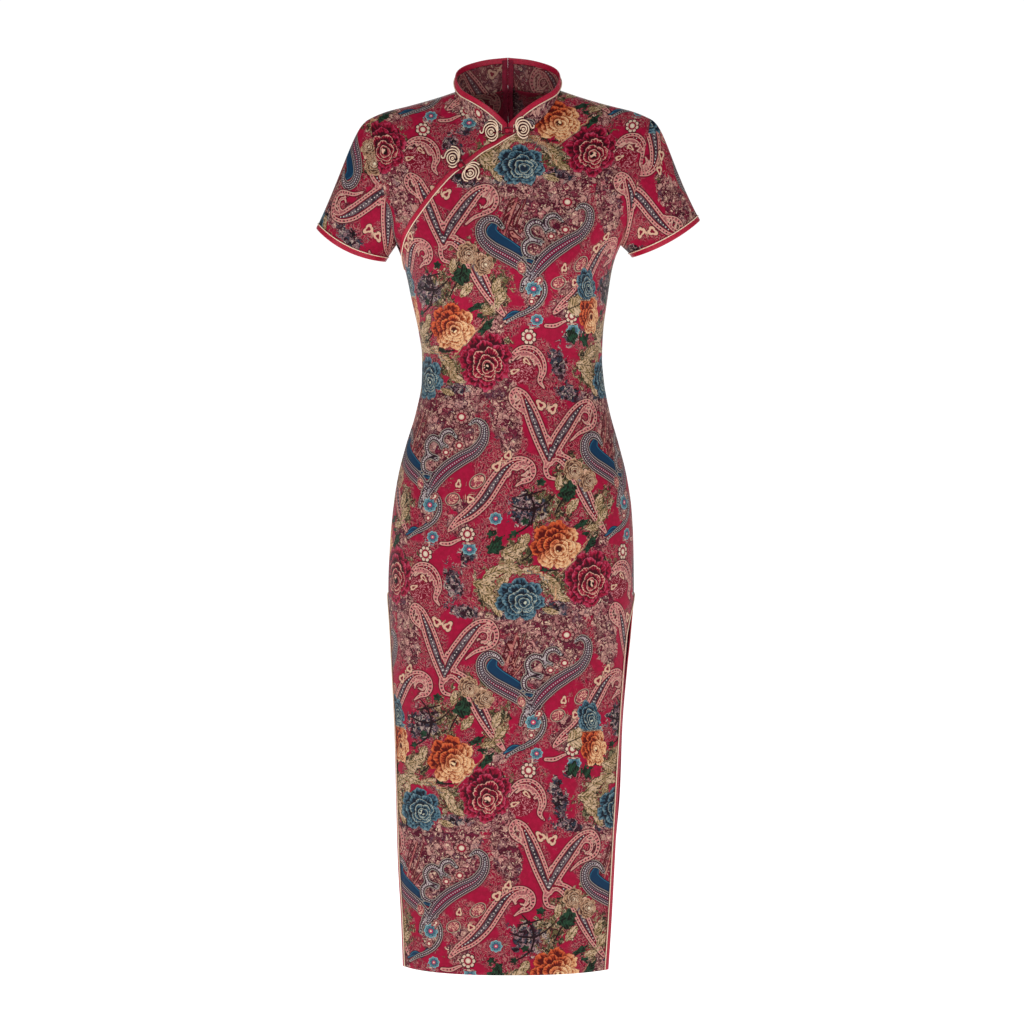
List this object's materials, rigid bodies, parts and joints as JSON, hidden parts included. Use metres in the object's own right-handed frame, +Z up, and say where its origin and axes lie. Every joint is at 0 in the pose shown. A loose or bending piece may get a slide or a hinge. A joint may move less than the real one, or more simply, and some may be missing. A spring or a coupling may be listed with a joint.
{
  "type": "cheongsam dress",
  "caption": "Filled-out midi cheongsam: stand collar, slanted bound front opening with flower frog buttons, short sleeves, side slits and a centre back zip.",
  "frame": {"origin": "middle of the neck, at the height where the shoulder seams meet the collar, 1210 mm above the front hem", "axes": "+X to the wearer's left, -Y to the front, +Z up along the body"},
  "size_m": [0.5266, 0.2374, 1.2589],
  "materials": {
    "print": "printed satin, crimson ground with paisley scrolls and peonies, soft sheen",
    "binding": "plain crimson satin, bias cut, glossy",
    "piping": "cream and gold satin cord",
    "frog": "dark red and cream satin cord, coiled by hand",
    "tape": "crimson woven zip tape, matt",
    "metal": "crimson enamelled zip slider and pull"
  },
  "bodies": {
    "dress": {"back_left": "print", "back_right": "print", "button_knot_chest": "binding", "button_knot_neck": "binding", "button_loop_chest": "frog", "button_loop_neck": "frog", "collar_binding_left": "binding", "collar_binding_right": "binding", "collar_left": "print", "collar_piping_left": "piping", "collar_piping_right": "piping", "collar_right": "print", "frog_chest_over": "frog", "frog_chest_under": "frog", "frog_neck_over": "frog", "frog_neck_under": "frog", "front": "print", "front_underlap": "print", "opening_binding": "binding", "opening_piping": "piping", "sleeve_binding_left": "binding", "sleeve_binding_right": "binding", "sleeve_left": "print", "sleeve_piping_left": "piping", "sleeve_piping_right": "piping", "sleeve_right": "print", "slit_binding_back_left": "binding", "slit_binding_back_right": "binding", "slit_binding_front_left": "binding", "slit_binding_front_right": "binding", "slit_piping_back_left": "piping", "slit_piping_back_right": "piping", "slit_piping_front_left": "piping", "slit_piping_front_right": "piping", "zip_slider": "metal", "zip_tape_left": "tape", "zip_tape_right": "tape"},
    "pull": {"zip_pull": "metal"}
  },
  "joints": [
    {"name": "zip_pull_swing", "type": "hinge", "parent": "dress", "child": "pull", "pos_m": [-0.003, 0.06251, 0.031], "axis": [1, 0, 0], "range_deg": [0, 160]}
  ]
}
